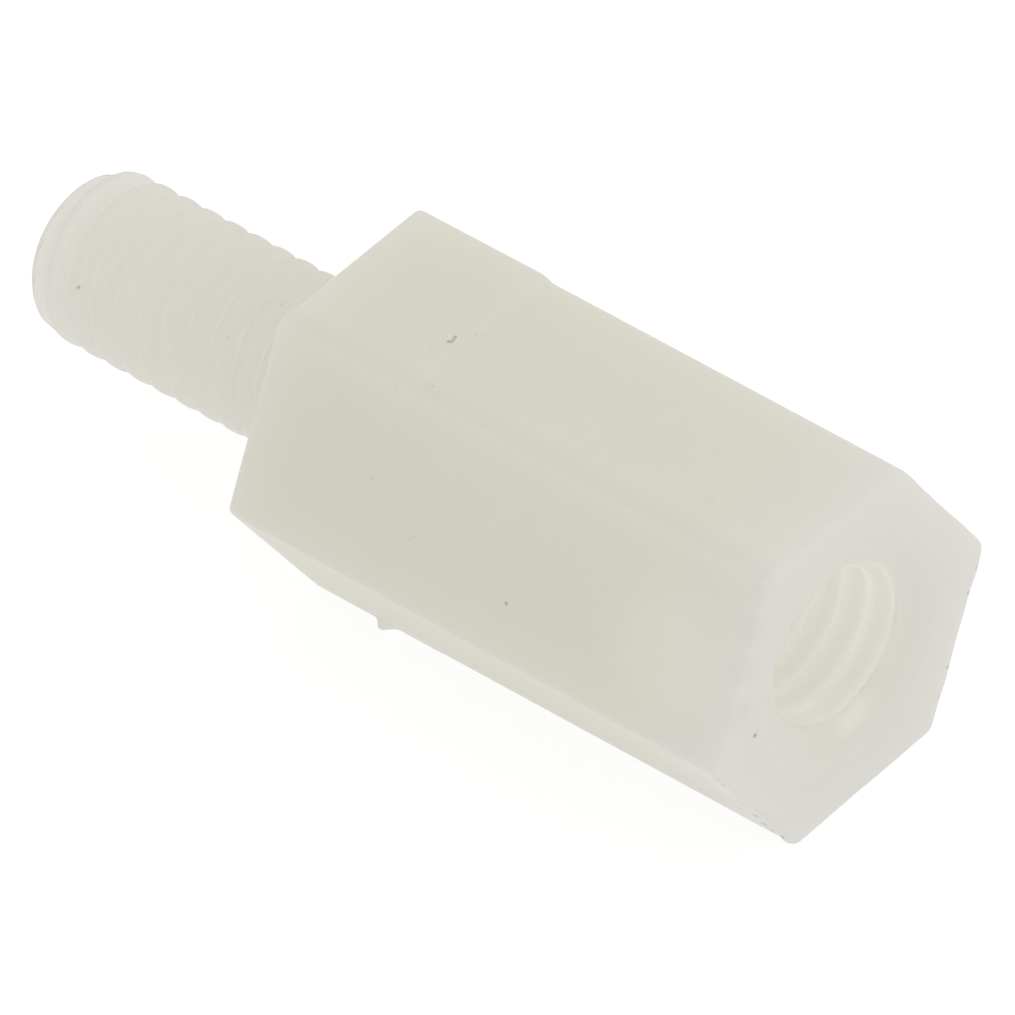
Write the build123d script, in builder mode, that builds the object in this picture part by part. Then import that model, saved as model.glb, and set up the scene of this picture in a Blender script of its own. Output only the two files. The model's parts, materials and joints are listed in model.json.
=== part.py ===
from build123d import *
from math import cos, radians, sin, tan
import os

# Hex standoff moulded in one piece: a hexagonal body with a threaded stud at one end and a blind
# threaded bore at the other. Lengths are in millimetres and angles in degrees.
# X runs along the thread axis, from the stud to the bore, and X = 0 is the shoulder that seats on
# a board. Z points up, square to the upper flat, and the lower flat is the one that it lies on.

# Hexagonal body, across flats where the two mould halves meet, and the draft of its bore half
side_count = 6
across_flats = 5.5
body_length = 10.0
long_edge_radius = 0.2
end_edge_radius = 0.12
draft_angle = 0.18

# Stud half of the mould: a little larger than the other half, and out of register with it
register_length = 2.7
register_shift = 0.03
register_angle = 80.0
stud_half_across_flats = 5.55

# Stud, drawn at the outside diameter of its thread
stud_diameter = 2.88
stud_length = 6.15
tip_edge_radius = 0.66

# Blind bore, drawn at the inside diameter of its thread, with a countersunk mouth
bore_diameter = 2.5
bore_depth = 7.0
bore_end_radius = 0.25
mouth_diameter = 3.9
mouth_angle = 118.0

# Vestige of the gate on the flat below the front one, beside its lower corner
gate_flat_angle = 210.0
gate_place = 1.45
gate_length = 0.42
gate_rise_length = 0.12
gate_top_length = 0.05
gate_height = 0.14
gate_width = 0.16
gate_corner_offset = 0.12

# Sizes that follow from the ones above
apothem = across_flats / 2
stud_half_apothem = stud_half_across_flats / 2
half_flat_width = stud_half_apothem * tan(radians(180 / side_count))
shift_y = register_shift * cos(radians(register_angle))
shift_z = register_shift * sin(radians(register_angle))

# The gate's plane stands square to its flat and along the axis. Its origin is where the vestige
# starts, at the side nearest to the corner, and it looks from that corner across the flat.
flat_normal = Vector(0, cos(radians(gate_flat_angle)), sin(radians(gate_flat_angle)))
across_flat = flat_normal.cross(Vector(1, 0, 0))
flat_shift = register_shift * cos(radians(gate_flat_angle - register_angle))
corner_shift = register_shift * sin(radians(gate_flat_angle - register_angle))
gate_origin = (
    Vector(gate_place, 0, 0)
    + flat_normal * (stud_half_apothem + flat_shift)
    - across_flat * (half_flat_width - gate_corner_offset - corner_shift)
)
gate_plane = Plane(origin=gate_origin, x_dir=(-1, 0, 0), z_dir=across_flat)

with BuildPart() as hex_standoff:
    # Body, bore half, drawn in by its draft towards the end face
    with BuildSketch(Plane.YZ.offset(register_length)):
        RegularPolygon(apothem, side_count, major_radius=False)
    extrude(amount=body_length - register_length)
    flats = hex_standoff.faces().filter_by(Axis.X, reverse=True)
    draft(flats, Plane.YZ.offset(register_length), draft_angle)
    long_edges = hex_standoff.edges().group_by(SortBy.LENGTH)[-1]
    fillet(long_edges, long_edge_radius)

    # Body, stud half, out of register with the other
    with BuildSketch(Plane.YZ) as stud_half:
        with Locations((shift_y, shift_z)):
            RegularPolygon(stud_half_apothem, side_count, major_radius=False)
        fillet(stud_half.vertices(), long_edge_radius)
    extrude(amount=register_length)

    # Rounded outlines of the shoulder and the end face
    end_faces = hex_standoff.faces().filter_by(Axis.X)
    shoulder_outline = end_faces.sort_by(Axis.X)[0].outer_wire().edges()
    mouth_outline = end_faces.sort_by(Axis.X)[-1].outer_wire().edges()
    fillet(shoulder_outline + mouth_outline, end_edge_radius)

    # Gate vestige, steep towards the stud and drawn out towards the bore
    with BuildSketch(gate_plane):
        with BuildLine():
            Polyline(
                (0, 0),
                (-gate_rise_length, gate_height),
                (-gate_rise_length - gate_top_length, gate_height),
                (-gate_length, 0),
                close=True,
            )
        make_face()
    extrude(amount=gate_width)

    # Stud with a rounded tip
    with BuildSketch(Plane.YZ):
        Circle(stud_diameter / 2)
    extrude(amount=-stud_length)
    tip_edge = hex_standoff.edges().filter_by(GeomType.CIRCLE).sort_by(Axis.X)[0]
    fillet(tip_edge, tip_edge_radius)

    # Countersunk blind bore with a rounded end
    with Locations(Plane.YZ.offset(body_length)):
        CounterSinkHole(
            bore_diameter / 2,
            mouth_diameter / 2,
            depth=bore_depth,
            counter_sink_angle=mouth_angle,
        )
    bore_end = hex_standoff.faces().sort_by_distance((body_length - bore_depth, 0, 0))[0]
    fillet(bore_end.edges(), bore_end_radius)

hex_standoff.part.label = "hex_standoff"

os.makedirs("parts", exist_ok=True)
export_step(hex_standoff.part, "parts/hex_standoff.step")
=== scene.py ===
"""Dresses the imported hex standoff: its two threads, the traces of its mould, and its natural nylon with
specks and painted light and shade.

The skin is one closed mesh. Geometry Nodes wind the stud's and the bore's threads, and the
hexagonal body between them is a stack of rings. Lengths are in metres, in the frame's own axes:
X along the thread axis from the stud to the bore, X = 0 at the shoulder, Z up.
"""

import json
import logging
from dataclasses import dataclass, field
from enum import Enum
from math import cos, pi, radians, sin, sqrt, tan
from typing import Any, Sequence

import bmesh
import bpy
import numpy as np
from mathutils import Matrix, Vector, noise


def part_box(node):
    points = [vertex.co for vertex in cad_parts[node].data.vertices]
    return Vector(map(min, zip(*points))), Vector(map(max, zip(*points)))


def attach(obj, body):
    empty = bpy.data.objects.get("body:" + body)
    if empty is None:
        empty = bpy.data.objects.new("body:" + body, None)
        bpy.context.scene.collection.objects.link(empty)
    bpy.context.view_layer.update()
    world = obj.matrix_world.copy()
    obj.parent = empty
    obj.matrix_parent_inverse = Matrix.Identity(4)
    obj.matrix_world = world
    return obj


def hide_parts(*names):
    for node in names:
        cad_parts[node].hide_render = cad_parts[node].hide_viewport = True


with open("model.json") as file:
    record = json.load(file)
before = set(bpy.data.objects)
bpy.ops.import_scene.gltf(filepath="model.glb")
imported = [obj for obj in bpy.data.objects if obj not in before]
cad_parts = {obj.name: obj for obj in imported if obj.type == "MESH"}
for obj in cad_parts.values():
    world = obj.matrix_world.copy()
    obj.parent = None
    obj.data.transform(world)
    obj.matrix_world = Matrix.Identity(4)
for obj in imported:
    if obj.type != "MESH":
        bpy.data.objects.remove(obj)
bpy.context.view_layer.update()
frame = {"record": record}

LOG = logging.getLogger("standoff")
NODE = "hex_standoff"
SLOT = "natural_nylon"
MILLIMETRE = 0.001
WELD = 0.001 * MILLIMETRE
SMALL_TURN = 0.001
FULL_TURN = 2 * pi
SIDES = 6
SIDE_DEGREES = 360 / SIDES
PHOTO_SIDE = 1015

Point = tuple[float, float, float]
Colour = tuple[float, float, float, float]
Socket = bpy.types.NodeSocket


class ThreadSide(Enum):
    """Which side of its wall a thread is cut on, and how its lead-in trims it."""

    OUTSIDE = "MINIMUM"
    INSIDE = "SMOOTH_MAX"


class Flat(Enum):
    """The body's flats, by the direction that each faces, in degrees from +Y towards +Z."""

    UPPER = 90.0
    FRONT = 150.0
    GATE = 210.0


def mount(name: str) -> dict[str, Any]:
    """Finds one of the record's mounts.

    Args:
        name: the mount's name.

    Returns:
        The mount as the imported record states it.
    """
    return next(m for m in frame["record"]["mounts"] if m["name"] == name)


def rounded(
    start: Sequence[float], corner: Sequence[float], end: Sequence[float], steps: int
) -> list[tuple[float, float]]:
    """Rounds the corner of a profile with a curve that leaves and meets its two lines smoothly.

    Args:
        start: where the curve leaves the first line.
        corner: where the two lines would meet.
        end: where the curve meets the second line.
        steps: number of stretches along the curve.

    Returns:
        The points after start, up to and including end.
    """
    a, b, c = (np.array(p, float) for p in (start, corner, end))
    shares = [k / steps for k in range(1, steps + 1)]
    return [tuple(a * (1 - t) ** 2 + b * 2 * t * (1 - t) + c * t * t) for t in shares]


class NodeWriter:
    """Adds nodes to a tree and links them, with one short call for each."""

    def __init__(self, tree: bpy.types.NodeTree) -> None:
        """Keeps the tree that the nodes go into."""
        self.tree = tree

    def add(self, kind: str, **settings: Any) -> bpy.types.Node:
        """Adds a node.

        Args:
            kind: the node's type name.
            settings: values of the node's own properties.

        Returns:
            The new node.
        """
        node = self.tree.nodes.new(kind)
        for name, value in settings.items():
            setattr(node, name, value)
        return node

    def feed(self, socket: Socket, value: Any) -> None:
        """Links a socket to another, or sets it to a plain value.

        Args:
            socket: the socket that is fed.
            value: another socket, or a plain value.
        """
        if isinstance(value, Socket):
            self.tree.links.new(value, socket)
        else:
            socket.default_value = value

    def math(self, operation: str, *values: Any) -> Socket:
        """Adds a Math node.

        Args:
            operation: what the node does.
            values: its operands, as sockets or numbers.

        Returns:
            The node's result.
        """
        node = self.add("ShaderNodeMath", operation=operation)
        for socket, value in zip(node.inputs, values):
            self.feed(socket, value)
        return node.outputs[0]

    def remap(
        self, value: Any, source: Sequence[Any], target: Sequence[Any], curve: str = "LINEAR"
    ) -> Socket:
        """Adds a clamped Map Range node.

        Args:
            value: what is mapped.
            source: the range's two ends before mapping.
            target: the range's two ends after mapping.
            curve: the node's interpolation.

        Returns:
            The node's result.
        """
        node = self.add("ShaderNodeMapRange", interpolation_type=curve, clamp=True)
        for socket, item in zip(node.inputs, (value, *source, *target)):
            self.feed(socket, item)
        return node.outputs[0]


@dataclass
class Thread:
    """One helical thread, wound by Geometry Nodes into a skin that is open at both ends."""

    name: str
    side: ThreadSide
    start: float
    end: float
    ridge_radius: float
    valley_radius: float
    ridge_place: float
    lead_ends: tuple[float, float]
    lead_radii: tuple[float, float]
    fade_ends: tuple[float, float]
    fade_height: float
    lead_blend: float
    rows_per_turn: int
    pitch: float = 0.5 * MILLIMETRE
    ridge_share: float = 0.16
    valley_share: float = 0.2
    segments: int = 180

    def inputs(self) -> dict[str, tuple[str, Any]]:
        """Returns the tree's named inputs, each with its socket type and value."""
        rows = round(abs(self.end - self.start) / self.pitch * self.rows_per_turn)
        return {
            "Rows": ("NodeSocketInt", rows),
            "Segments": ("NodeSocketInt", self.segments),
            "Start": ("NodeSocketFloat", self.start),
            "End": ("NodeSocketFloat", self.end),
            "Pitch": ("NodeSocketFloat", self.pitch),
            "Ridge radius": ("NodeSocketFloat", self.ridge_radius),
            "Valley radius": ("NodeSocketFloat", self.valley_radius),
            "Ridge place": ("NodeSocketFloat", self.ridge_place),
            "Ridge share": ("NodeSocketFloat", self.ridge_share),
            "Valley share": ("NodeSocketFloat", self.valley_share),
            "Lead start": ("NodeSocketFloat", self.lead_ends[0]),
            "Lead end": ("NodeSocketFloat", self.lead_ends[1]),
            "Lead start radius": ("NodeSocketFloat", self.lead_radii[0]),
            "Lead end radius": ("NodeSocketFloat", self.lead_radii[1]),
            "Fade start": ("NodeSocketFloat", self.fade_ends[0]),
            "Fade end": ("NodeSocketFloat", self.fade_ends[1]),
            "Fade height": ("NodeSocketFloat", self.fade_height),
            "Lead blend": ("NodeSocketFloat", self.lead_blend),
            "Material": ("NodeSocketMaterial", None),
        }

    def tree(self) -> bpy.types.GeometryNodeTree:
        """Builds the tree: a grid wound round the axis, whose radius follows the thread.

        Returns:
            The tree, with this thread's sizes as its named inputs.
        """
        tree = bpy.data.node_groups.new(f"{self.name}_thread", "GeometryNodeTree")
        for name, (kind, _) in self.inputs().items():
            tree.interface.new_socket(name=name, in_out="INPUT", socket_type=kind)
        tree.interface.new_socket(name="Skin", in_out="OUTPUT", socket_type="NodeSocketGeometry")
        write = NodeWriter(tree)
        given = write.add("NodeGroupInput").outputs
        grid = write.add("GeometryNodeMeshGrid")
        for name, value in (("Size X", 1.0), ("Size Y", 1.0), ("Vertices X", given["Rows"])):
            write.feed(grid.inputs[name], value)
        write.feed(grid.inputs["Vertices Y"], write.math("ADD", given["Segments"], 1))
        spread = write.add("ShaderNodeSeparateXYZ")
        write.feed(spread.inputs[0], write.add("GeometryNodeInputPosition").outputs[0])
        along = write.math("ADD", spread.outputs["X"], 0.5)
        turn = write.math("ADD", spread.outputs["Y"], 0.5)
        place = write.remap(along, (0.0, 1.0), (given["Start"], given["End"]))
        radius = self.radius(write, given, place, turn)
        angle = write.math("MULTIPLY", turn, FULL_TURN)
        wound = write.add("ShaderNodeCombineXYZ")
        write.feed(wound.inputs["X"], place)
        write.feed(wound.inputs["Y"], write.math("MULTIPLY", radius, write.math("COSINE", angle)))
        write.feed(wound.inputs["Z"], write.math("MULTIPLY", radius, write.math("SINE", angle)))
        skin = write.add("GeometryNodeSetPosition")
        write.feed(skin.inputs["Geometry"], grid.outputs["Mesh"])
        write.feed(skin.inputs["Position"], wound.outputs[0])
        closed = write.add("GeometryNodeMergeByDistance")
        write.feed(closed.inputs["Geometry"], skin.outputs[0])
        write.feed(closed.inputs["Distance"], WELD)
        real = write.add("GeometryNodeRealizeInstances")
        write.feed(real.inputs[0], closed.outputs[0])
        dressed = write.add("GeometryNodeSetMaterial")
        write.feed(dressed.inputs["Geometry"], real.outputs[0])
        write.feed(dressed.inputs["Material"], given["Material"])
        write.feed(write.add("NodeGroupOutput").inputs[0], dressed.outputs[0])
        return tree

    def radius(self, write: NodeWriter, given: Any, place: Socket, turn: Socket) -> Socket:
        """Works out the skin's radius: ridges and valleys, faded at one end and trimmed by the lead-in.

        Args:
            write: the tree's writer.
            given: the tree's inputs.
            place: X along the axis.
            turn: share of a turn round the axis.

        Returns:
            The radius.
        """
        turns = write.math("DIVIDE", write.math("SUBTRACT", place, given["Ridge place"]), given["Pitch"])
        from_ridge = write.math("PINGPONG", write.math("SUBTRACT", turns, turn), 0.5)
        ridge_edge = write.math("MULTIPLY", given["Ridge share"], 0.5)
        valley_edge = write.math("SUBTRACT", 0.5, write.math("MULTIPLY", given["Valley share"], 0.5))
        height = write.remap(from_ridge, (ridge_edge, valley_edge), (1.0, 0.0), "SMOOTHSTEP")
        faded = write.remap(place, (given["Fade start"], given["Fade end"]), (0.0, 1.0), "SMOOTHSTEP")
        rest = write.math("SUBTRACT", given["Fade height"], height)
        height = write.math("MULTIPLY_ADD", rest, faded, height)
        depth = write.math("SUBTRACT", given["Ridge radius"], given["Valley radius"])
        thread = write.math("MULTIPLY_ADD", depth, height, given["Valley radius"])
        lead = write.remap(place, (given["Lead start"], given["Lead end"]), (0.0, 1.0))
        if self.side is ThreadSide.OUTSIDE:
            fall = write.math("SQRT", write.math("SUBTRACT", 1.0, write.math("MULTIPLY", lead, lead)))
            lead = write.math("SUBTRACT", 1.0, fall)
        limit = write.remap(lead, (0.0, 1.0), (given["Lead start radius"], given["Lead end radius"]))
        return write.math(self.side.value, thread, limit, given["Lead blend"])

    def mesh(self, material: bpy.types.Material) -> bpy.types.Mesh:
        """Winds the thread.

        Args:
            material: what the skin is made of.

        Returns:
            The thread's skin as a plain mesh.
        """
        tree = self.tree()
        blank = bpy.data.objects.new(f"{self.name}_blank", bpy.data.meshes.new(f"{self.name}_blank"))
        bpy.context.scene.collection.objects.link(blank)
        winder = blank.modifiers.new("winder", "NODES")
        winder.node_group = tree
        values = {name: value for name, (_, value) in self.inputs().items()}
        values["Material"] = material
        for item in tree.interface.items_tree:
            if item.in_out == "INPUT":
                winder[item.identifier] = values[item.name]
        wound = blank.evaluated_get(bpy.context.evaluated_depsgraph_get())
        skin = bpy.data.meshes.new_from_object(wound)
        blank.modifiers.remove(winder)
        bpy.data.objects.remove(blank)
        return skin


def end_ring(skin: bpy.types.Mesh, place: float) -> np.ndarray:
    """Reads the ring of points at one end of a thread's skin.

    Args:
        skin: the thread's mesh.
        place: X of that end.

    Returns:
        The ring's points in order round the axis, from +Y towards +Z.
    """
    points = np.array([v.co for v in skin.vertices])
    ring = points[np.abs(points[:, 0] - place) < WELD]
    turns = np.mod(np.arctan2(ring[:, 2], ring[:, 1]) + SMALL_TURN, FULL_TURN)
    return ring[np.argsort(turns)]


@dataclass
class Gate:
    """Vestige of the gate on the flat under the front one, beside its lower corner."""

    place: float = 1.45 * MILLIMETRE
    length: float = 0.42 * MILLIMETRE
    rise_length: float = 0.12 * MILLIMETRE
    top_length: float = 0.05 * MILLIMETRE
    height: float = 0.14 * MILLIMETRE
    width: float = 0.16 * MILLIMETRE
    corner_offset: float = 0.12 * MILLIMETRE
    side_slope: float = 0.03 * MILLIMETRE

    def lift(self, x: float, from_corner: np.ndarray) -> np.ndarray:
        """Works out how far the vestige stands off its flat.

        Args:
            x: place along the axis.
            from_corner: distances from the flat's sharp corner.

        Returns:
            The lift at each of those distances.
        """
        foot = self.place + self.length
        top = self.place + self.rise_length
        profile = np.interp(x, [self.place, top, top + self.top_length, foot], [0.0, 1.0, 1.0, 0.0])
        low = self.corner_offset
        high = low + self.width
        edges = [low, low + self.side_slope, high - self.side_slope, high]
        return self.height * profile * np.interp(from_corner, edges, [0.0, 1.0, 1.0, 0.0])


@dataclass(frozen=True)
class Burr:
    """A small lip of flash on the end face's edge, at an angle in degrees from +Y towards +Z."""

    angle: float
    width: float
    height: float

    def lift(self, point: np.ndarray) -> float:
        """Works out how far the lip draws the edge out.

        Args:
            point: a point of the edge.

        Returns:
            The lift at that point.
        """
        turn = np.arctan2(point[2], point[1]) - radians(self.angle)
        gap = np.hypot(point[1], point[2]) * (turn - FULL_TURN * np.round(turn / FULL_TURN))
        return self.height * np.exp(-((gap / self.width) ** 2))


@dataclass
class Body:
    """The hexagonal body: two mould halves a little out of register, with rounded edges."""

    length: float
    apothem: float
    gate: Gate = field(default_factory=Gate)
    register_length: float = 2.7 * MILLIMETRE
    register_ramp: float = 0.3 * MILLIMETRE
    register_shift: float = 0.03 * MILLIMETRE
    register_angle: float = 80.0
    stud_half_extra: float = 0.025 * MILLIMETRE
    bore_half_draft: float = 0.18
    stud_half_edge: float = 0.16 * MILLIMETRE
    bore_half_edge: float = 0.22 * MILLIMETRE
    end_edge: float = 0.12 * MILLIMETRE
    edge_wave: float = 0.02 * MILLIMETRE
    edge_wave_length: float = 0.35 * MILLIMETRE
    edge_wave_mean: float = 0.5
    burrs: tuple[Burr, ...] = (
        Burr(angle=354.0, width=0.22 * MILLIMETRE, height=0.035 * MILLIMETRE),
        Burr(angle=315.0, width=0.2 * MILLIMETRE, height=0.03 * MILLIMETRE),
        Burr(angle=236.0, width=0.16 * MILLIMETRE, height=0.035 * MILLIMETRE),
    )
    corner_columns: int = 10
    flat_columns: int = 20
    rounding_rows: int = 8
    face_shares: tuple[float, ...] = (0.25, 0.5, 0.75)
    support: float = 0.03 * MILLIMETRE
    gate_row: float = 0.03 * MILLIMETRE
    plain_row: float = 0.3 * MILLIMETRE
    crowding: float = 2.2

    def flat_shares(self, facing: float) -> np.ndarray:
        """Places the columns along one flat, crowded towards the gate on the flat that has it.

        Args:
            facing: the flat's direction in degrees.

        Returns:
            Each column's share of the flat's length, from the corner before it.
        """
        steps = np.arange(self.flat_columns) / self.flat_columns
        if facing == Flat.GATE.value:
            return 1 - (1 - steps) ** self.crowding
        edge = self.support / self.apothem
        inner = np.linspace(edge, 1 - edge, self.flat_columns - 1)
        return np.concatenate(([0.0], inner))

    def outline(self, x: float, inset: float = 0.0) -> np.ndarray:
        """Draws the rounded hexagon of one section.

        Args:
            x: the section's place along the axis.
            inset: how far the outline lies inside the full section.

        Returns:
            The outline's points, as (Y, Z) rows in order round the axis.
        """
        ramp = (x - self.register_length) / self.register_ramp + 0.5
        ramp = min(max(ramp, 0.0), 1.0)
        ramp = ramp * ramp * (3 - 2 * ramp)
        edge = self.stud_half_edge + (self.bore_half_edge - self.stud_half_edge) * ramp
        edge = max(edge - inset, self.support)
        shift = self.register_shift * (1 - ramp)
        draft = max(x - self.register_length, 0.0) * tan(radians(self.bore_half_draft))
        apothem = self.apothem + self.stud_half_extra * (1 - ramp) - draft
        centre_reach = (apothem - inset - edge) / cos(radians(SIDE_DEGREES / 2))
        half = self.corner_columns // 2
        arc_degrees = np.arange(half) / half * SIDE_DEGREES / 2
        points = []
        for side in range(SIDES):
            here = side * SIDE_DEGREES
            facing = here + SIDE_DEGREES / 2
            normal = self.compass(facing)
            centres = [centre_reach * self.compass(here), centre_reach * self.compass(here + SIDE_DEGREES)]
            points += [centres[0] + edge * self.compass(here + a) for a in arc_degrees]
            flat = [centres[0] + edge * normal, centres[1] + edge * normal]
            shares = self.flat_shares(facing)
            line = flat[0] + np.outer(shares, flat[1] - flat[0])
            if facing == Flat.GATE.value:
                sharp_gap = edge * tan(radians(SIDE_DEGREES / 2))
                from_corner = (1 - shares) * np.linalg.norm(flat[1] - flat[0]) + sharp_gap
                line = line + np.outer(self.gate.lift(x, from_corner), normal)
            points += list(line)
            points += [centres[1] + edge * self.compass(facing + a) for a in arc_degrees]
        return np.array(points) + shift * self.compass(self.register_angle)

    @staticmethod
    def compass(degrees: float) -> np.ndarray:
        """Returns the unit (Y, Z) direction at an angle from +Y towards +Z."""
        return np.array((cos(radians(degrees)), sin(radians(degrees))))

    def places(self) -> list[float]:
        """Chooses where along the straight sides the rings go, closer at the gate and the register.

        Returns:
            The rings' places along the axis, in order.
        """
        low, high = self.end_edge, self.length - self.end_edge
        gate_low, gate_high = self.gate.place, self.gate.place + self.gate.length
        ramp_low = self.register_length - self.register_ramp / 2
        ramp_high = self.register_length + self.register_ramp / 2
        stops = [low + self.support, gate_low, gate_high, ramp_low, ramp_high, high - self.support]
        steps = [self.plain_row, self.gate_row, self.plain_row, self.gate_row, self.plain_row]
        places: list[float] = [low]
        for start, end, step in zip(stops, stops[1:], steps):
            places += list(np.linspace(start, end, max(round((end - start) / step), 1), endpoint=False))
        return places + [stops[-1], high]

    def rings(self, stud_ring: np.ndarray, mouth_ring: np.ndarray) -> list[np.ndarray]:
        """Stacks the body's rings from the stud's root to the bore's mouth.

        Args:
            stud_ring: the stud's last ring, at the shoulder.
            mouth_ring: the bore's first ring, at the end face.

        Returns:
            The rings in order, each with as many points.
        """
        quarter = [k / self.rounding_rows * pi / 2 for k in range(self.rounding_rows + 1)]
        rise = [(self.end_edge * (1 - sin(a)), self.end_edge * (1 - cos(a))) for a in quarter]
        rings = []
        for drop, back in rise:
            rings.append(self.ring(back, drop))
        for x in self.places()[1:-1]:
            rings.append(self.ring(x, 0.0))
        for drop, back in reversed(rise):
            rings.append(self.waved(self.ring(self.length - back, drop)))
        shoulder = self.facing(stud_ring, rings[0])
        end_face = self.facing(mouth_ring, rings[-1])
        return [*shoulder, *rings, *reversed(end_face)]

    def ring(self, x: float, inset: float) -> np.ndarray:
        """Returns the points of one section as (X, Y, Z) rows."""
        flat = self.outline(x, inset)
        return np.column_stack((np.full(len(flat), x), flat))

    def facing(self, inner: np.ndarray, outer: np.ndarray) -> list[np.ndarray]:
        """Spreads rings over a flat end, between a round inner edge and the hexagonal outer one.

        Args:
            inner: the inner edge's ring, which is kept.
            outer: the outer edge's ring, which isn't repeated.

        Returns:
            The rings from the inner edge outwards.
        """
        reach = np.linalg.norm(outer - inner, axis=1).min()
        edge = self.support / reach
        shares = (0.0, edge, *self.face_shares, 1 - edge)
        return [inner + share * (outer - inner) for share in shares]

    def waved(self, ring: np.ndarray) -> np.ndarray:
        """Draws a ring out a little, unevenly, as the trimmed edge of the end face is.

        Args:
            ring: the ring's points.

        Returns:
            The points, drawn out.
        """
        moved = []
        for point in ring:
            swing = max(self.edge_wave_mean + noise.noise(Vector(point / self.edge_wave_length)), 0.0)
            lift = swing * self.edge_wave + sum(burr.lift(point) for burr in self.burrs)
            outward = point * (0.0, 1.0, 1.0)
            moved.append(point + outward / np.linalg.norm(outward) * lift)
        return np.array(moved)


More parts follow.
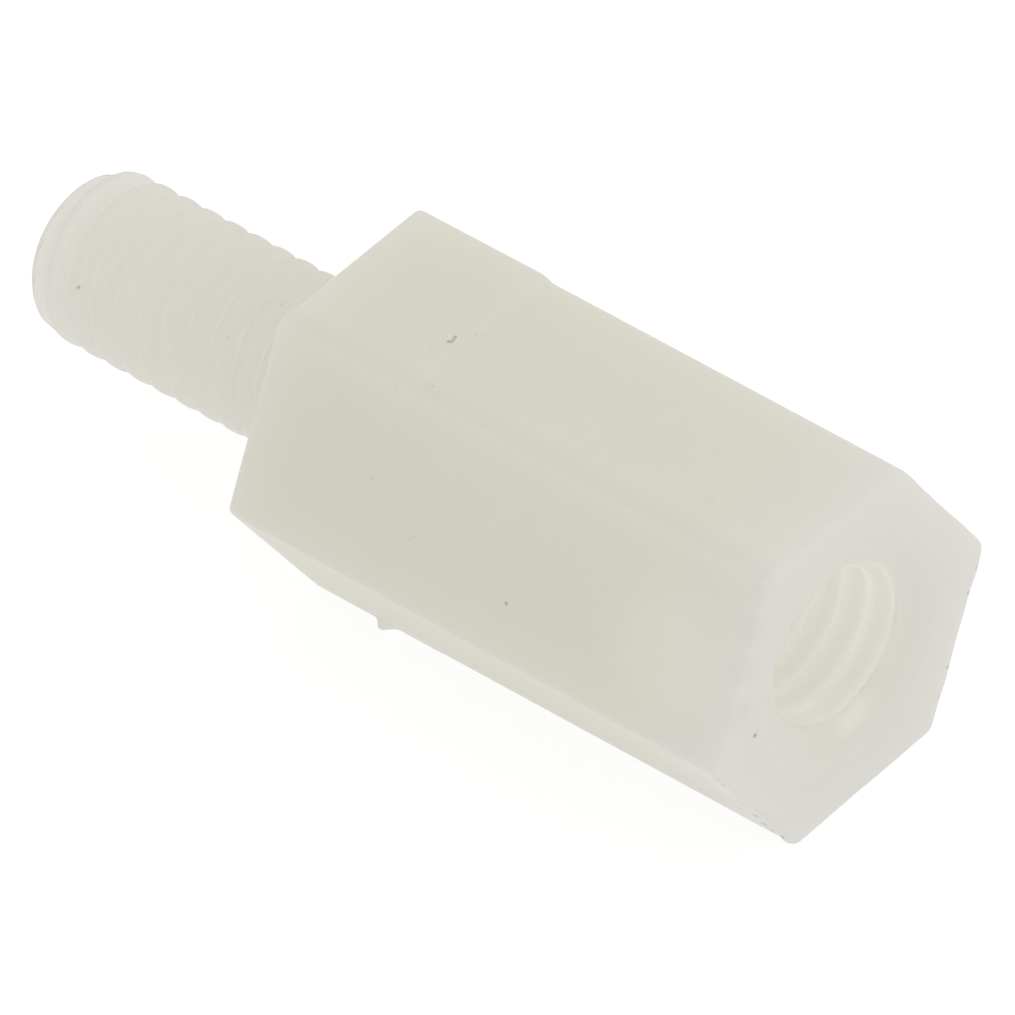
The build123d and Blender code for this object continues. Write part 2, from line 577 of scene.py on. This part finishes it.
@dataclass
class Standoff:
    """The whole moulding: stud, body and bore in one closed skin."""

    low: Vector
    high: Vector
    stud_radius: float
    bore_radius: float
    stud_valley_radius: float = 1.19 * MILLIMETRE
    bore_valley_radius: float = 1.46 * MILLIMETRE
    stud_ridge_place: float = -0.181 * MILLIMETRE
    bore_ridge_place: float = 9.32 * MILLIMETRE
    neck_length: float = 0.25 * MILLIMETRE
    neck_fade: float = 0.15 * MILLIMETRE
    tip_edge: float = 0.66 * MILLIMETRE
    tip_row: float = 0.03 * MILLIMETRE
    mouth_radius: float = 1.95 * MILLIMETRE
    mouth_angle: float = 118.0
    mouth_blend: float = 0.2 * MILLIMETRE
    bore_depth: float = 7.0 * MILLIMETRE
    bore_end_edge: float = 0.25 * MILLIMETRE
    bore_fade: float = 0.5 * MILLIMETRE
    bore_ridge_share: float = 0.16
    bore_valley_share: float = 0.1
    stud_rows_per_turn: int = 18
    bore_rows_per_turn: int = 12
    cap_steps: int = 5
    cap_shares: tuple[float, ...] = (0.96, 0.6, 0.25)

    @classmethod
    def from_frame(cls) -> "Standoff":
        """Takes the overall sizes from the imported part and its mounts.

        Returns:
            The moulding, with the other sizes as they stand above.
        """
        low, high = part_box(NODE)
        stud_radius = mount("stud")["dims"]["r_mm"] * MILLIMETRE
        bore_radius = mount("threaded_bore")["dims"]["r_mm"] * MILLIMETRE
        return cls(low, high, stud_radius, bore_radius)

    @property
    def tip_radius(self) -> float:
        """Radius of the flat end of the tip."""
        return self.stud_radius - self.tip_edge

    @property
    def tip_corner_radius(self) -> float:
        """Radius at which the line along the tip's last turned row meets its flat end."""
        lead = 1 - self.tip_row / self.tip_edge
        return self.tip_radius + self.tip_edge * (1 - lead) / sqrt(1 - lead * lead)

    @property
    def mouth_depth(self) -> float:
        """Depth of the countersunk mouth."""
        return (self.mouth_radius - self.bore_radius) / tan(radians(self.mouth_angle / 2))

    def stud(self) -> Thread:
        """Lays out the stud's thread.

        Returns:
            The thread from the shoulder to the rounded edge of the tip.
        """
        tip = self.low.x
        return Thread(
            name="stud",
            side=ThreadSide.OUTSIDE,
            start=0.0,
            end=tip + self.tip_row,
            ridge_radius=self.stud_radius,
            valley_radius=self.stud_valley_radius,
            ridge_place=self.stud_ridge_place,
            lead_ends=(tip + self.tip_edge, tip),
            lead_radii=(self.stud_radius, self.tip_radius),
            fade_ends=(-self.neck_length - self.neck_fade, -self.neck_length),
            fade_height=0.0,
            lead_blend=0.0,
            rows_per_turn=self.stud_rows_per_turn,
        )

    def bore(self) -> Thread:
        """Lays out the bore's thread.

        Returns:
            The thread from the mouth to the rounded edge of the bore's end.
        """
        mouth = self.high.x
        end = mouth - self.bore_depth + self.bore_end_edge
        return Thread(
            name="bore",
            side=ThreadSide.INSIDE,
            start=mouth,
            end=end,
            ridge_radius=self.bore_radius,
            valley_radius=self.bore_valley_radius,
            ridge_place=self.bore_ridge_place,
            lead_ends=(mouth, mouth - self.mouth_depth),
            lead_radii=(self.mouth_radius, self.bore_radius),
            fade_ends=(end + self.bore_fade, end),
            fade_height=1.0,
            lead_blend=self.mouth_blend,
            rows_per_turn=self.bore_rows_per_turn,
            ridge_share=self.bore_ridge_share,
            valley_share=self.bore_valley_share,
        )

    def cap(self, ring: np.ndarray, corner: Sequence[float], flat_end: float) -> list[np.ndarray]:
        """Closes in on the axis from a round ring, over a rounded edge and a flat.

        Args:
            ring: the ring that the cap starts from, which isn't repeated.
            corner: (X, radius) of the sharp edge that is rounded off.
            flat_end: radius at which the rounding meets the flat.

        Returns:
            The cap's rings, without the point on the axis.
        """
        start = (ring[0, 0], np.linalg.norm(ring[0, 1:]))
        profile = rounded(start, corner, (corner[0], flat_end), self.cap_steps)
        profile += [(corner[0], flat_end * share) for share in self.cap_shares]
        round_shares = ring[:, 1:] / np.linalg.norm(ring[:, 1:], axis=1)[:, None]
        return [np.column_stack((np.full(len(ring), x), round_shares * radius)) for x, radius in profile]

    def build(self, material: bpy.types.Material) -> bpy.types.Object:
        """Builds the moulding.

        Args:
            material: what it is made of.

        Returns:
            The closed skin as one object.
        """
        stud, bore = self.stud(), self.bore()
        body = Body(length=self.high.x, apothem=-self.low.z)
        work = bmesh.new()
        threads = {}
        for thread in (stud, bore):
            threads[thread.name] = thread.mesh(material)
            work.from_mesh(threads[thread.name])
        stud_root = end_ring(threads["stud"], stud.start)
        mouth = end_ring(threads["bore"], bore.start)
        self.stack(work, body.rings(stud_root, mouth))
        tip_ring = end_ring(threads["stud"], stud.end)
        tip_cap = self.cap(tip_ring, (self.low.x, self.tip_corner_radius), self.tip_radius)
        self.stack(work, [tip_ring, *tip_cap], closed=True)
        inner_ring = end_ring(threads["bore"], bore.end)
        floor = self.high.x - self.bore_depth
        end_cap = self.cap(inner_ring, (floor, self.bore_radius), self.bore_radius - self.bore_end_edge)
        self.stack(work, [inner_ring, *end_cap], closed=True)
        bmesh.ops.remove_doubles(work, verts=work.verts, dist=WELD)
        bmesh.ops.recalc_face_normals(work, faces=work.faces)
        for face in work.faces:
            face.smooth = True
        skin = bpy.data.meshes.new("moulding")
        work.to_mesh(skin)
        work.free()
        for mesh in threads.values():
            bpy.data.meshes.remove(mesh)
        skin.materials.clear()
        skin.materials.append(material)
        moulding = bpy.data.objects.new("moulding", skin)
        bpy.context.scene.collection.objects.link(moulding)
        return moulding

    @staticmethod
    def stack(work: bmesh.types.BMesh, rings: Sequence[np.ndarray], closed: bool = False) -> None:
        """Joins rings of points with faces.

        Args:
            work: the mesh that the faces go into.
            rings: the rings in order, each with as many points.
            closed: whether the last ring is closed by a fan to the axis.
        """
        rows = [[work.verts.new(point) for point in ring] for ring in rings]
        for row, next_row in zip(rows, rows[1:]):
            for k in range(len(row)):
                after = (k + 1) % len(row)
                work.faces.new((row[k], row[after], next_row[after], next_row[k]))
        if closed:
            last = rows[-1]
            pole = work.verts.new((rings[-1][0, 0], 0.0, 0.0))
            for k in range(len(last)):
                work.faces.new((last[k], last[(k + 1) % len(last)], pole))


@dataclass(frozen=True)
class SpeckOrPaintedLight:
    """A dark speck on the nylon or a patch of painted shade, or a patch of painted light where its shade is
    below zero.

    It is placed by the pixel of the photograph that shows it.
    """

    pixel: tuple[float, float]
    shade: float
    reach: float = 0.048 * MILLIMETRE


@dataclass(frozen=True)
class NaturalNylon:
    """Uncoloured nylon as it leaves the mould: milky, slightly translucent, with a satin skin."""

    thick: Colour = (0.70, 0.692, 0.61, 1.0)
    thin: Colour = (0.70, 0.687, 0.656, 1.0)
    stud_through: Colour = (0.812, 0.796, 0.745, 1.0)
    bore_through: Colour = (0.78, 0.768, 0.704, 1.0)
    body_passes: float = 0.2
    root_passes: float = 0.76
    tip_passes: float = 0.6
    bore_passes: float = 0.84
    glow_radius: float = 1.75 * MILLIMETRE
    glow_depth: float = 0.6 * MILLIMETRE
    # painted shade in the stud's thread valleys and painted light on the bore's thread crests
    painted_groove_shade: float = 0.02
    painted_crest_light: float = 0.02
    # painted shade: a soft dark line on the upper flat, beside its edge with the front flat
    painted_edge_shade_depth: float = 0.045
    painted_edge_shade_across: tuple[float, ...] = (0.05 * MILLIMETRE, -0.13 * MILLIMETRE, -0.5 * MILLIMETRE)
    painted_edge_shade_heights: tuple[float, float] = (2.4 * MILLIMETRE, 2.6 * MILLIMETRE)
    painted_edge_shade_end: float = 0.2 * MILLIMETRE
    root_fade: float = 0.25 * MILLIMETRE
    end_fade: float = 2.6 * MILLIMETRE
    milkiness: float = 0.42
    scatter_reach: float = 3.0 * MILLIMETRE
    scatter_shares: Point = (1.0, 0.92, 0.75)
    index: float = 1.53
    sheen: float = 0.35
    gloss: float = 0.45
    cloud_scale: float = 420.0
    cloud_share: float = 0.2
    cloud_detail: float = 3.0
    cloud_ends: tuple[float, float] = (0.25, 0.75)
    grain_scale: float = 9000.0
    grain_height: float = 0.003 * MILLIMETRE
    speck_or_light_core: float = 0.2
    flecks: tuple[SpeckOrPaintedLight, ...] = (
        SpeckOrPaintedLight((754.5, 735.0), shade=0.54, reach=0.056 * MILLIMETRE),
        SpeckOrPaintedLight((78.0, 286.8), shade=0.38),
        SpeckOrPaintedLight((505.7, 602.8), shade=0.39),
        SpeckOrPaintedLight((567.3, 714.8), shade=0.45),
        SpeckOrPaintedLight((227.5, 337.2), shade=0.12),
        SpeckOrPaintedLight((371.0, 478.0), shade=0.12),
        SpeckOrPaintedLight((432.0, 386.0), shade=0.12),
        SpeckOrPaintedLight((280.7, 304.0), shade=0.12),
    )
    hair: tuple[SpeckOrPaintedLight, ...] = (
        SpeckOrPaintedLight((448.2, 341.0), shade=0.38),
        SpeckOrPaintedLight((451.0, 341.2), shade=0.34),
        SpeckOrPaintedLight((453.2, 339.0), shade=0.34),
        SpeckOrPaintedLight((454.6, 336.4), shade=0.4),
    )
    end_edge_dark_spots: tuple[SpeckOrPaintedLight, ...] = (
        SpeckOrPaintedLight((967.7, 592.0), shade=0.38),
        SpeckOrPaintedLight((948.0, 666.0), shade=0.53, reach=0.074 * MILLIMETRE),
        SpeckOrPaintedLight((755.3, 815.3), shade=0.6, reach=0.09 * MILLIMETRE),
        SpeckOrPaintedLight((764.3, 824.0), shade=0.6, reach=0.1 * MILLIMETRE),
        SpeckOrPaintedLight((771.5, 829.5), shade=0.36, reach=0.1 * MILLIMETRE),
        SpeckOrPaintedLight((782.0, 836.5), shade=0.42, reach=0.06 * MILLIMETRE),
        SpeckOrPaintedLight((740.0, 801.8), shade=0.3, reach=0.09 * MILLIMETRE),
        SpeckOrPaintedLight((745.5, 805.8), shade=0.3, reach=0.09 * MILLIMETRE),
        SpeckOrPaintedLight((716.0, 779.5), shade=0.14, reach=0.08 * MILLIMETRE),
        SpeckOrPaintedLight((722.0, 784.7), shade=0.22, reach=0.07 * MILLIMETRE),
        # the next two are painted shade of small dents in the edge
        SpeckOrPaintedLight((976.0, 567.0), shade=0.2, reach=0.06 * MILLIMETRE),
        SpeckOrPaintedLight((939.3, 696.2), shade=0.25, reach=0.08 * MILLIMETRE),
    )
    smudges: tuple[SpeckOrPaintedLight, ...] = (
        SpeckOrPaintedLight((395.3, 389.7), shade=0.06),
        SpeckOrPaintedLight((711.5, 499.0), shade=0.08),
        SpeckOrPaintedLight((409.0, 538.5), shade=0.06),
        SpeckOrPaintedLight((412.5, 536.0), shade=0.07),
        SpeckOrPaintedLight((424.0, 533.0), shade=0.04),
        SpeckOrPaintedLight((476.0, 334.8), shade=0.08),
        SpeckOrPaintedLight((481.5, 333.3), shade=0.06),
        SpeckOrPaintedLight((430.0, 349.3), shade=0.06),
    )
    # painted light: pale patches low in the bore's mouth, on the gate vestige and on the front flat near
    # the end face
    painted_light_patches: tuple[SpeckOrPaintedLight, ...] = (
        SpeckOrPaintedLight((843.0, 725.0), shade=-0.04, reach=0.3 * MILLIMETRE),
        SpeckOrPaintedLight((852.0, 716.0), shade=-0.04, reach=0.3 * MILLIMETRE),
        SpeckOrPaintedLight((861.0, 707.0), shade=-0.04, reach=0.3 * MILLIMETRE),
        SpeckOrPaintedLight((814.0, 712.0), shade=-0.03, reach=0.4 * MILLIMETRE),
        SpeckOrPaintedLight((388.0, 628.0), shade=-0.08, reach=0.4 * MILLIMETRE),
        SpeckOrPaintedLight((668.0, 655.0), shade=-0.05, reach=1.6 * MILLIMETRE),
    )
    # painted shade: soft dark patches along the end face's edge with the front flat, dimming its bright
    # edge
    painted_shade_patches: tuple[SpeckOrPaintedLight, ...] = (
        SpeckOrPaintedLight((761.0, 588.0), shade=0.035, reach=0.4 * MILLIMETRE),
        SpeckOrPaintedLight((754.0, 630.0), shade=0.035, reach=0.4 * MILLIMETRE),
        SpeckOrPaintedLight((746.0, 672.0), shade=0.035, reach=0.4 * MILLIMETRE),
        SpeckOrPaintedLight((738.0, 714.0), shade=0.035, reach=0.4 * MILLIMETRE),
    )

    @property
    def specks_and_painted_light(self) -> tuple[SpeckOrPaintedLight, ...]:
        """All the specks and the patches of painted light and shade in one row."""
        dark = (*self.flecks, *self.hair, *self.end_edge_dark_spots, *self.smudges)
        return (*dark, *self.painted_light_patches, *self.painted_shade_patches)

    def dress(self, nylon: bpy.types.Material, sizes: Standoff, spots: Sequence[Vector]) -> None:
        """Builds the nylon's nodes.

        Args:
            nylon: the material to fill.
            sizes: the part's sizes, which tell the thin places from the thick.
            spots: where on the part the specks and the patches of painted light and shade are, in order.
        """
        nylon.use_nodes = True
        tree = nylon.node_tree
        tree.nodes.clear()
        write = NodeWriter(tree)
        place = write.add("ShaderNodeTexCoord").outputs["Object"]
        parts = write.add("ShaderNodeSeparateXYZ")
        write.feed(parts.inputs[0], place)
        x, y, z = parts.outputs
        radius = write.math("SQRT", write.math("MULTIPLY_ADD", y, y, write.math("MULTIPLY", z, z)))
        in_stud = write.remap(x, (0.0, -self.root_fade), (0.0, 1.0), "SMOOTHSTEP")
        in_bore = self.in_bore(write, sizes, x, radius)
        to_tip = write.remap(x, (0.0, sizes.low.x), (0.0, 1.0))
        at_end = write.remap(x, (sizes.high.x - self.end_fade, sizes.high.x), (0.0, 1.0), "SMOOTHSTEP")
        colour = self.colour(write, place, write.math("MAXIMUM", to_tip, at_end))
        # one factor on the colour: the specks' darkening and the patches of painted light and shade
        light = self.speck_and_painted_light_factor(write, place, spots)
        # painted shade in the stud's thread valleys and painted light on the bore's thread crests
        light = write.math("MULTIPLY", light, self.painted_thread_light(write, sizes, radius, in_stud))
        # painted shade along the upper flat's edge with the front flat
        light = write.math("MULTIPLY", light, self.painted_edge_shade(write, sizes, place, x, z))
        stud_passes = write.remap(to_tip, (0.0, 1.0), (self.root_passes, self.tip_passes))
        passes = write.remap(in_stud, (0.0, 1.0), (self.body_passes, stud_passes))
        passes = write.remap(in_bore, (0.0, 1.0), (passes, self.bore_passes))
        through = write.add("ShaderNodeMix", data_type="RGBA")
        write.feed(through.inputs["Factor"], in_bore)
        write.feed(through.inputs["A"], self.stud_through)
        write.feed(through.inputs["B"], self.bore_through)
        front = write.add("ShaderNodeMixShader")
        write.feed(front.inputs[0], passes)
        write.feed(front.inputs[1], self.skin(write, place, self.dimmed(write, colour, light)))
        inner = write.add("ShaderNodeBsdfTranslucent")
        write.feed(inner.inputs["Color"], self.dimmed(write, through.outputs[2], light))
        write.feed(front.inputs[2], inner.outputs[0])
        whole = write.add("ShaderNodeMixShader")
        write.feed(whole.inputs[0], write.add("ShaderNodeNewGeometry").outputs["Backfacing"])
        write.feed(whole.inputs[1], front.outputs[0])
        write.feed(whole.inputs[2], write.add("ShaderNodeBsdfTransparent").outputs[0])
        write.feed(write.add("ShaderNodeOutputMaterial").inputs["Surface"], whole.outputs[0])

    def in_bore(self, write: NodeWriter, sizes: Standoff, x: Socket, radius: Socket) -> Socket:
        """Tells the bore's wall, which light from outside reaches through the body, from the rest.

        Args:
            write: the material's writer.
            sizes: the part's sizes.
            x: place along the axis.
            radius: distance from the axis.

        Returns:
            One in the bore, and zero outside it.
        """
        mouth = sizes.high.x
        inside = write.remap(radius, (self.glow_radius, sizes.bore_valley_radius), (0.0, 1.0), "SMOOTHSTEP")
        below = write.remap(x, (mouth, mouth - self.glow_depth), (0.0, 1.0), "SMOOTHSTEP")
        past_root = write.remap(x, (0.0, mouth - sizes.bore_depth), (0.0, 1.0))
        return write.math("MULTIPLY", write.math("MULTIPLY", inside, below), past_root)

    def painted_thread_light(self, write: NodeWriter, sizes: Standoff, radius: Socket, in_stud: Socket) -> Socket:
        """Paints a little shade into the stud's thread valleys and a little light onto the bore's thread
        crests, which evens out the threads' shading.

        Args:
            write: the material's writer.
            sizes: the part's sizes.
            radius: distance from the axis.
            in_stud: one in the stud, and zero in the body.

        Returns:
            A little under one in the stud's valleys, where shade is painted, and a little over one on the
            bore's crests, where light is painted.
        """
        grooves = (sizes.stud_valley_radius, sizes.stud_radius)
        painted_stud_shade = write.remap(radius, grooves, (1.0 - self.painted_groove_shade, 1.0))
        crests = (sizes.bore_radius, sizes.bore_valley_radius)
        painted_bore_light = write.remap(radius, crests, (1.0 + self.painted_crest_light, 1.0))
        return write.remap(in_stud, (0.0, 1.0), (painted_bore_light, painted_stud_shade))

    def painted_edge_shade(self, write: NodeWriter, sizes: Standoff, place: Socket, x: Socket, z: Socket) -> Socket:
        """Paints a soft line of shade on the upper flat, along its edge with the front one.

        Args:
            write: the material's writer.
            sizes: the part's sizes.
            place: where on the part the surface is.
            x: place along the axis.
            z: height above the axis.

        Returns:
            One away from the painted shade line, and less on it.
        """
        corner = radians((Flat.UPPER.value + Flat.FRONT.value) / 2)
        across = write.add("ShaderNodeVectorMath", operation="DOT_PRODUCT")
        write.feed(across.inputs[0], place)
        write.feed(across.inputs[1], (0.0, -sin(corner), cos(corner)))
        past_edge = across.outputs["Value"]
        near, middle, far = self.painted_edge_shade_across
        rise = write.remap(past_edge, (near, middle), (0.0, self.painted_edge_shade_depth), "SMOOTHSTEP")
        fall = write.remap(past_edge, (middle, far), (1.0, 0.0), "SMOOTHSTEP")
        upper = write.remap(z, self.painted_edge_shade_heights, (0.0, 1.0))
        before_end = write.remap(x, (sizes.high.x, sizes.high.x - self.painted_edge_shade_end), (0.0, 1.0))
        # the painted shade line, kept to the upper flat and off the end face
        line = write.math("MULTIPLY", rise, fall)
        line = write.math("MULTIPLY", line, write.math("MULTIPLY", upper, before_end))
        return write.math("SUBTRACT", 1.0, line)

    def colour(self, write: NodeWriter, place: Socket, thinness: Socket) -> Socket:
        """Mixes the nylon's colour: warmer where it is thick, paler where it is thin, slightly clouded.

        Args:
            write: the material's writer.
            place: where on the part the surface is.
            thinness: how thin the part is there.

        Returns:
            The colour.
        """
        clouds = write.add("ShaderNodeTexNoise")
        write.feed(clouds.inputs["Vector"], place)
        write.feed(clouds.inputs["Scale"], self.cloud_scale)
        write.feed(clouds.inputs["Detail"], self.cloud_detail)
        swing = write.remap(clouds.outputs[0], self.cloud_ends, (-self.cloud_share, self.cloud_share))
        mix = write.add("ShaderNodeMix", data_type="RGBA", clamp_factor=True)
        write.feed(mix.inputs["Factor"], write.math("ADD", thinness, swing))
        write.feed(mix.inputs["A"], self.thick)
        write.feed(mix.inputs["B"], self.thin)
        return mix.outputs[2]

    def speck_and_painted_light_factor(self, write: NodeWriter, place: Socket, spots: Sequence[Vector]) -> Socket:
        """Works out how much of the nylon's colour the specks and the painted shade leave, and how much the
        painted light adds.

        Args:
            write: the material's writer.
            place: where on the part the surface is.
            spots: where on the part the specks and the patches of painted light and shade are, in order.

        Returns:
            One away from them, less on specks and painted shade, and more on painted light.
        """
        light: Any = 1.0
        for speck_or_light, spot in zip(self.specks_and_painted_light, spots):
            gap = write.add("ShaderNodeVectorMath", operation="DISTANCE")
            write.feed(gap.inputs[0], place)
            write.feed(gap.inputs[1], spot)
            edge = (speck_or_light.reach * self.speck_or_light_core, speck_or_light.reach)
            dim = write.remap(gap.outputs["Value"], edge, (1.0 - speck_or_light.shade, 1.0), "SMOOTHSTEP")
            light = write.math("MULTIPLY", light, dim)
        return light

    @staticmethod
    def dimmed(write: NodeWriter, colour: Any, light: Socket) -> Socket:
        """Scales a colour by a light.

        Args:
            write: the material's writer.
            colour: the colour, as a socket or a plain value.
            light: what it is scaled by.

        Returns:
            The scaled colour.
        """
        scaled = write.add("ShaderNodeVectorMath", operation="SCALE")
        write.feed(scaled.inputs[0], colour)
        write.feed(scaled.inputs["Scale"], light)
        return scaled.outputs[0]

    def skin(self, write: NodeWriter, place: Socket, colour: Socket) -> Socket:
        """Makes the satin skin with the milky scatter under it.

        Args:
            write: the material's writer.
            place: where on the part the surface is.
            colour: the nylon's colour there.

        Returns:
            The skin's shader.
        """
        grain = write.add("ShaderNodeTexNoise")
        write.feed(grain.inputs["Vector"], place)
        write.feed(grain.inputs["Scale"], self.grain_scale)
        bump = write.add("ShaderNodeBump")
        write.feed(bump.inputs["Height"], grain.outputs[0])
        write.feed(bump.inputs["Distance"], self.grain_height)
        skin = write.add("ShaderNodeBsdfPrincipled", subsurface_method="RANDOM_WALK")
        write.feed(skin.inputs["Base Color"], colour)
        write.feed(skin.inputs["Roughness"], self.gloss)
        write.feed(skin.inputs["IOR"], self.index)
        write.feed(skin.inputs["Specular IOR Level"], self.sheen)
        write.feed(skin.inputs["Subsurface Weight"], self.milkiness)
        write.feed(skin.inputs["Subsurface Radius"], self.scatter_shares)
        write.feed(skin.inputs["Subsurface Scale"], self.scatter_reach)
        write.feed(skin.inputs["Normal"], bump.outputs[0])
        return skin.outputs[0]


@dataclass(frozen=True)
class Lamp:
    """A square soft lamp that looks at the middle of the part."""

    name: str
    azimuth: float
    elevation: float
    distance: float = 0.3
    side: float = 0.25
    power: float = 0.085
    colour: Point = (1.0, 1.0, 1.0)

    def place(self, target: Vector) -> None:
        """Hangs the lamp in the scene.

        Args:
            target: the point that it faces.
        """
        data = bpy.data.lights.new(self.name, "AREA")
        data.shape = "SQUARE"
        data.size = self.side
        data.energy = self.power
        data.color = self.colour
        lamp = bpy.data.objects.new(self.name, data)
        back = heading(self.azimuth, self.elevation)
        turn = back.to_track_quat("Z", "Y").to_matrix().to_4x4()
        lamp.matrix_world = Matrix.Translation(target + back * self.distance) @ turn
        bpy.context.scene.collection.objects.link(lamp)


def heading(azimuth: float, elevation: float) -> Vector:
    """Finds the direction from the part to something that looks at it.

    Args:
        azimuth: degrees round the part, 0 on the -Y side and 90 on the +X side.
        elevation: degrees above the floor.

    Returns:
        The direction, of length one.
    """
    a, e = radians(azimuth), radians(elevation)
    return Vector((sin(a) * cos(e), -cos(a) * cos(e), sin(e)))


@dataclass
class Studio:
    """A pale floor, soft light and the camera at the photograph's angle."""

    floor_height: float
    target: Point = (2.277 * MILLIMETRE, 0.551 * MILLIMETRE, -1.486 * MILLIMETRE)
    azimuth: float = 47.30
    elevation: float = 42.24
    roll: float = -7.675
    distance: float = 249.4 * MILLIMETRE
    lens: float = 571.7
    sensor: float = 36.0
    nearest: float = 1.0 * MILLIMETRE
    furthest: float = 20.0
    floor_reach: float = 2.0
    floor_colour: Colour = (0.3, 0.3, 0.3, 1.0)
    floor_glow: float = 0.6
    shadow_colour: Colour = (0.32, 0.32, 0.32, 1.0)
    backdrop_glow: float = 0.77
    sky_strength: float = 0.8
    sky_colour: Colour = (1.0, 0.99, 0.96, 1.0)
    lamps: tuple[Lamp, ...] = (
        Lamp("end_lamp", azimuth=110.0, elevation=30.0, colour=(1.0, 0.99, 1.0)),
        Lamp("top_lamp", azimuth=160.0, elevation=75.0),
    )

    def build(self) -> None:
        """Sets the floor, the light and the camera."""
        self.floor()
        self.sky()
        for lamp in self.lamps:
            lamp.place(Vector(self.target))
        self.camera()
        bpy.context.scene.view_settings.view_transform = "Standard"

    @staticmethod
    def seen(write: NodeWriter) -> Socket:
        """Tells rays that show the background from those that only carry light.

        Args:
            write: the writer of a material or a world.

        Returns:
            One for rays that show the background, and zero for the others.
        """
        path = write.add("ShaderNodeLightPath").outputs
        mirrored = write.math("MAXIMUM", path["Is Glossy Ray"], path["Is Transmission Ray"])
        return write.math("MAXIMUM", path["Is Camera Ray"], mirrored)

    @staticmethod
    def lit_paper(write: NodeWriter, colour: Colour, glow: float) -> Socket:
        """Makes paper that is lit from behind and takes shadows.

        Args:
            write: the floor material's writer.
            colour: how much of the light that falls on it the paper returns.
            glow: how much light it gives by itself.

        Returns:
            The paper's shader.
        """
        shaded = write.add("ShaderNodeBsdfDiffuse")
        write.feed(shaded.inputs["Color"], colour)
        light = write.add("ShaderNodeEmission")
        write.feed(light.inputs["Strength"], glow)
        both = write.add("ShaderNodeAddShader")
        write.feed(both.inputs[0], shaded.outputs[0])
        write.feed(both.inputs[1], light.outputs[0])
        return both.outputs[0]

    def floor(self) -> None:
        """Lays the floor under the part: white to the eye, with the part's soft shadow on it."""
        reach, z = self.floor_reach, self.floor_height
        mesh = bpy.data.meshes.new("floor")
        corners = [(-reach, -reach, z), (reach, -reach, z), (reach, reach, z), (-reach, reach, z)]
        mesh.from_pydata(corners, [], [(0, 1, 2, 3)])
        paper = bpy.data.materials.new("floor_paper")
        paper.use_nodes = True
        paper.node_tree.nodes.clear()
        write = NodeWriter(paper.node_tree)
        plain = self.lit_paper(write, self.floor_colour, self.floor_glow)
        shown = self.lit_paper(write, self.shadow_colour, self.backdrop_glow)
        choice = write.add("ShaderNodeMixShader")
        write.feed(choice.inputs[0], self.seen(write))
        write.feed(choice.inputs[1], plain)
        write.feed(choice.inputs[2], shown)
        write.feed(write.add("ShaderNodeOutputMaterial").inputs["Surface"], choice.outputs[0])
        mesh.materials.append(paper)
        floor = bpy.data.objects.new("floor", mesh)
        bpy.context.scene.collection.objects.link(floor)

    def sky(self) -> None:
        """Lights the part evenly from all round, and shows white behind it."""
        world = bpy.data.worlds.new("studio")
        world.use_nodes = True
        world.node_tree.nodes.clear()
        write = NodeWriter(world.node_tree)
        soft = write.add("ShaderNodeBackground")
        write.feed(soft.inputs["Color"], self.sky_colour)
        write.feed(soft.inputs["Strength"], self.sky_strength)
        white = write.add("ShaderNodeBackground")
        write.feed(white.inputs["Color"], (1.0, 1.0, 1.0, 1.0))
        choice = write.add("ShaderNodeMixShader")
        write.feed(choice.inputs[0], self.seen(write))
        write.feed(choice.inputs[1], soft.outputs[0])
        write.feed(choice.inputs[2], white.outputs[0])
        write.feed(write.add("ShaderNodeOutputWorld").inputs["Surface"], choice.outputs[0])
        bpy.context.scene.world = world

    def camera(self) -> None:
        """Sets the camera where the photograph was taken from."""
        data = bpy.data.cameras.new("camera")
        data.lens = self.lens
        data.sensor_width = self.sensor
        data.clip_start = self.nearest
        data.clip_end = self.furthest
        camera = bpy.data.objects.new("camera", data)
        camera.matrix_world = self.pose()
        bpy.context.scene.collection.objects.link(camera)
        bpy.context.scene.camera = camera

    def pose(self) -> Matrix:
        """Works out how the camera stands.

        Returns:
            The camera's place and turn.
        """
        back = heading(self.azimuth, self.elevation)
        level = Vector((0.0, 0.0, 1.0)).cross(back).normalized()
        turn = Matrix((level, back.cross(level), back)).transposed()
        turn = turn @ Matrix.Rotation(radians(self.roll), 3, "Z")
        return Matrix.Translation(Vector(self.target) + back * self.distance) @ turn.to_4x4()

    def spots(self, piece: bpy.types.Object, specks_and_painted_light: Sequence[SpeckOrPaintedLight]) -> list[Vector]:
        """Finds the places on a piece that the photograph shows the specks and the patches of painted light
        and shade at.

        Args:
            piece: the piece that carries them.
            specks_and_painted_light: the specks and the patches of painted light and shade, each with its
                pixel.

        Returns:
            One place for each speck or patch, in order.
        """
        depsgraph = bpy.context.evaluated_depsgraph_get()
        pose = self.pose()
        places = []
        for speck_or_light in specks_and_painted_light:
            across, down = ((p + 0.5) / PHOTO_SIDE - 0.5 for p in speck_or_light.pixel)
            scale = self.sensor / self.lens
            ray = pose.to_3x3() @ Vector((across * scale, -down * scale, -1.0))
            found, place, _, _ = piece.ray_cast(pose.translation, ray.normalized(), depsgraph=depsgraph)
            if not found:
                raise ValueError(f"no part of {piece.name} at pixel {speck_or_light.pixel}")
            places.append(place)
        return places


def main() -> None:
    """Builds the moulding and the studio, and reports each piece."""
    logging.basicConfig(level=logging.INFO, format="%(message)s")
    standoff = Standoff.from_frame()
    nylon = bpy.data.materials.new(SLOT)
    moulding = standoff.build(nylon)
    studio = Studio(floor_height=standoff.low.z)
    finish = NaturalNylon()
    finish.dress(nylon, standoff, studio.spots(moulding, finish.specks_and_painted_light))
    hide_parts(NODE)
    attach(moulding, "root")
    LOG.info("%s: %d faces, %d marks", moulding.name, len(moulding.data.polygons), len(finish.specks_and_painted_light))
    studio.build()
    LOG.info("studio: %d lamps", len(studio.lamps))


if __name__ == "__main__":
    main()
